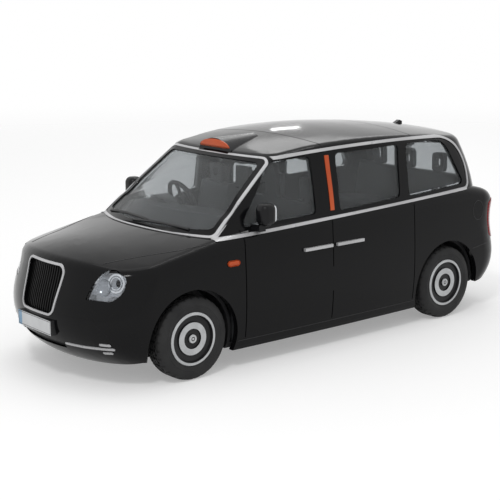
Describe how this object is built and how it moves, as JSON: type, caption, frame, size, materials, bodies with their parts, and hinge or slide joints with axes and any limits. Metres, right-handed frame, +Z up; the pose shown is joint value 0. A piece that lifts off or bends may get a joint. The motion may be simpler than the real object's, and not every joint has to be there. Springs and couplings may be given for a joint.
{
  "type": "model taxi cab",
  "caption": "Die-cast scale model of an electric hackney cab with a glossy black shell, clear windows, modelled cabin, roof sign and wheels that turn.",
  "frame": {"origin": "on the ground, under the middle of the model's length and width", "axes": "+Z up; the cab faces -Y; its left side is +X"},
  "size_m": [0.048, 0.113, 0.0432],
  "materials": {
    "body_paint": "deep gloss black paint over die-cast metal",
    "gloss_black": "glossy black moulding",
    "black_plastic": "satin black moulding",
    "grey_plastic": "dark grey moulding of the seats",
    "glazing": "clear polished moulding",
    "trim_silver": "printed silver line, satin",
    "lamp_clear": "clear lamp lens",
    "lamp_reflector": "bright plated reflector",
    "lamp_red": "red tinted lens",
    "lamp_amber": "orange lens and print",
    "plate_white": "blank pale plate",
    "mirror_face": "polished mirror",
    "axle_steel": "plain drawn steel rod",
    "rim_plastic": "black moulded rim with plated rings",
    "tyre_rubber": "soft black vinyl tyre"
  },
  "bodies": {
    "body": {"base_plate": "black_plastic", "body_shell": "body_paint", "bumper_strips": "trim_silver", "cabin_floor": "black_plastic", "dashboard": "black_plastic", "door_handles": "trim_silver", "driver_seat": "grey_plastic", "front_plate": "plate_white", "grille_frame": "trim_silver", "grille_insert": "black_plastic", "headlamp_lens_left": "lamp_clear", "headlamp_lens_right": "lamp_clear", "headlamp_reflector_left": "lamp_reflector", "headlamp_reflector_right": "lamp_reflector", "lower_intake": "black_plastic", "mirror_glasses": "mirror_face", "mirror_left": "black_plastic", "mirror_right": "black_plastic", "partition": "black_plastic", "pillar_stripes": "lamp_amber", "rear_bench": "grey_plastic", "rear_headrests": "grey_plastic", "rear_plate": "plate_white", "rear_window": "glazing", "roof_fin": "gloss_black", "roof_sign": "gloss_black", "roof_sign_lens": "lamp_amber", "screen_trim": "trim_silver", "side_glazing_left": "glazing", "side_glazing_right": "glazing", "side_repeaters": "lamp_amber", "side_trim_left": "trim_silver", "side_trim_right": "trim_silver", "steering_wheel": "black_plastic", "tail_lamp_left": "lamp_red", "tail_lamp_right": "lamp_red", "tip_up_seats": "grey_plastic", "windscreen": "glazing", "wipers": "black_plastic"},
    "front_axle": {"front_axle_rod": "axle_steel", "rim_front_left": "rim_plastic", "rim_front_right": "rim_plastic", "tyre_front_left": "tyre_rubber", "tyre_front_right": "tyre_rubber"},
    "rear_axle": {"rear_axle_rod": "axle_steel", "rim_rear_left": "rim_plastic", "rim_rear_right": "rim_plastic", "tyre_rear_left": "tyre_rubber", "tyre_rear_right": "tyre_rubber"}
  },
  "joints": [
    {"name": "front_axle_spin", "type": "hinge", "parent": "body", "child": "front_axle", "pos_m": [0, -0.0347, 0.008], "axis": [1, 0, 0], "continuous": true},
    {"name": "rear_axle_spin", "type": "hinge", "parent": "body", "child": "rear_axle", "pos_m": [0, 0.0347, 0.008], "axis": [1, 0, 0], "continuous": true}
  ]
}
